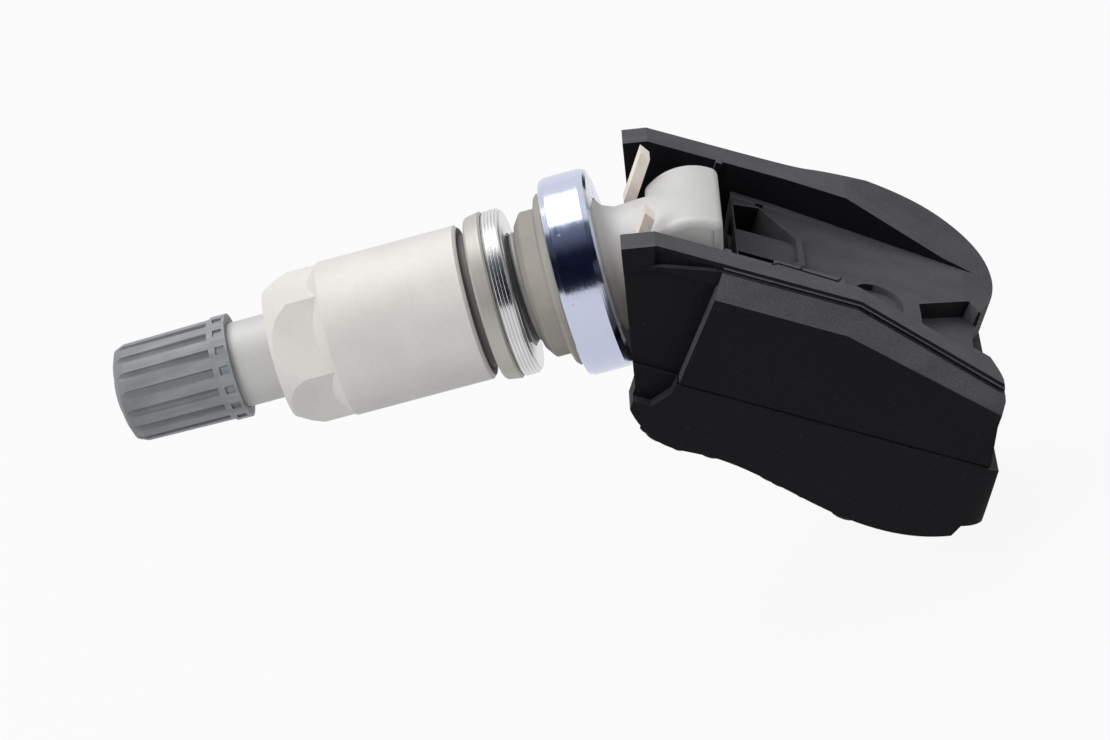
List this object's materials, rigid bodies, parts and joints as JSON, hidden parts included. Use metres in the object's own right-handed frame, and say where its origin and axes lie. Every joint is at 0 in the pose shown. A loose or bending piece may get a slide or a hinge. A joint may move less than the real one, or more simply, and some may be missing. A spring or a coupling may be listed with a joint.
{
  "type": "tyre pressure sensor",
  "caption": "Clamp-in tyre pressure sensor: metal valve with collar nut, rubber grommet, support ring and dust cap, and a sealed saddle housing that tilts on the valve's foot.",
  "frame": {"origin": "centre of the wheel rim's valve hole, on the valve's axis, at the face the grommet seals on", "axes": "+X runs along the valve from the dust cap to the housing, +Z is towards the tyre, +Y completes the right-handed frame"},
  "size_m": [0.0775, 0.0289, 0.0369],
  "materials": {
    "valve_metal": "satin turned",
    "nut_metal": "satin turned",
    "bright_steel": "bright turned",
    "ring_steel": "polished, brushed round",
    "collar_metal": "satin",
    "grommet_rubber": "matt",
    "cap_plastic": "matt",
    "seal_rubber": "matt",
    "core_brass": "turned",
    "spring_steel": "drawn wire",
    "housing_plastic": "fine matt grain",
    "base_plastic": "fine matt grain",
    "potting_resin": "cast, slightly glossy",
    "fork_steel": "stamped, satin",
    "board_laminate": "solder mask",
    "cell_steel": "satin",
    "tab_nickel": "satin",
    "chip_case": "moulded",
    "ferrite": "fired",
    "copper": "enamelled wire",
    "can_steel": "drawn",
    "chip_parts": "ceramic"
  },
  "bodies": {
    "valve": {"valve_stem": "valve_metal", "core_body": "core_brass", "core_ring": "seal_rubber", "core_spring": "spring_steel", "support_ring": "ring_steel", "grommet": "grommet_rubber"},
    "core_plunger": {"core_pin": "core_brass", "core_cup": "seal_rubber"},
    "clamp": {"nut_collar": "collar_metal", "clamping_washer": "bright_steel"},
    "nut": {"collar_nut": "nut_metal"},
    "cap_run": {"cap_seal": "seal_rubber"},
    "cap": {"dust_cap": "cap_plastic"},
    "housing": {"housing_body": "housing_plastic", "housing_base": "base_plastic", "potting": "potting_resin", "retaining_fork": "fork_steel", "circuit_board": "board_laminate", "battery_cell": "cell_steel", "battery_tab_plus": "tab_nickel", "battery_tab_minus": "tab_nickel", "sensor_chip": "chip_case", "port_seal": "seal_rubber", "coil_core": "ferrite", "coil_winding": "copper", "crystal": "can_steel", "radio_aerial": "tab_nickel", "board_parts": "chip_parts"}
  },
  "joints": [
    {"name": "housing_tilt", "type": "hinge", "parent": "valve", "child": "housing", "pos_m": [0.0144, 0, 0], "axis": [0, 1, 0], "range_deg": [-15, 2]},
    {"name": "nut_advance", "type": "slide", "parent": "valve", "child": "clamp", "axis": [1, 0, 0], "range_m": [-0.0032, 0.0004]},
    {"name": "nut_turn", "type": "hinge", "parent": "clamp", "child": "nut", "pos_m": [0, 0, 0], "axis": [1, 0, 0], "range_deg": [-1152, 144]},
    {"name": "cap_advance", "type": "slide", "parent": "valve", "child": "cap_run", "axis": [1, 0, 0], "range_m": [-0.00476, 0]},
    {"name": "cap_turn", "type": "hinge", "parent": "cap_run", "child": "cap", "pos_m": [0, 0, 0], "axis": [1, 0, 0], "range_deg": [-2160, 0]},
    {"name": "core_push", "type": "slide", "parent": "valve", "child": "core_plunger", "axis": [1, 0, 0], "range_m": [0, 0.001], "stiffness_N_per_m": 1500, "springref_m": -0.001, "deforming": ["core_spring"]}
  ],
  "couplings": [
    {"joint": "nut_advance", "follows": "nut_turn", "m_per_rad": 0.00015915},
    {"joint": "cap_advance", "follows": "cap_turn", "m_per_rad": 0.00012637}
  ]
}
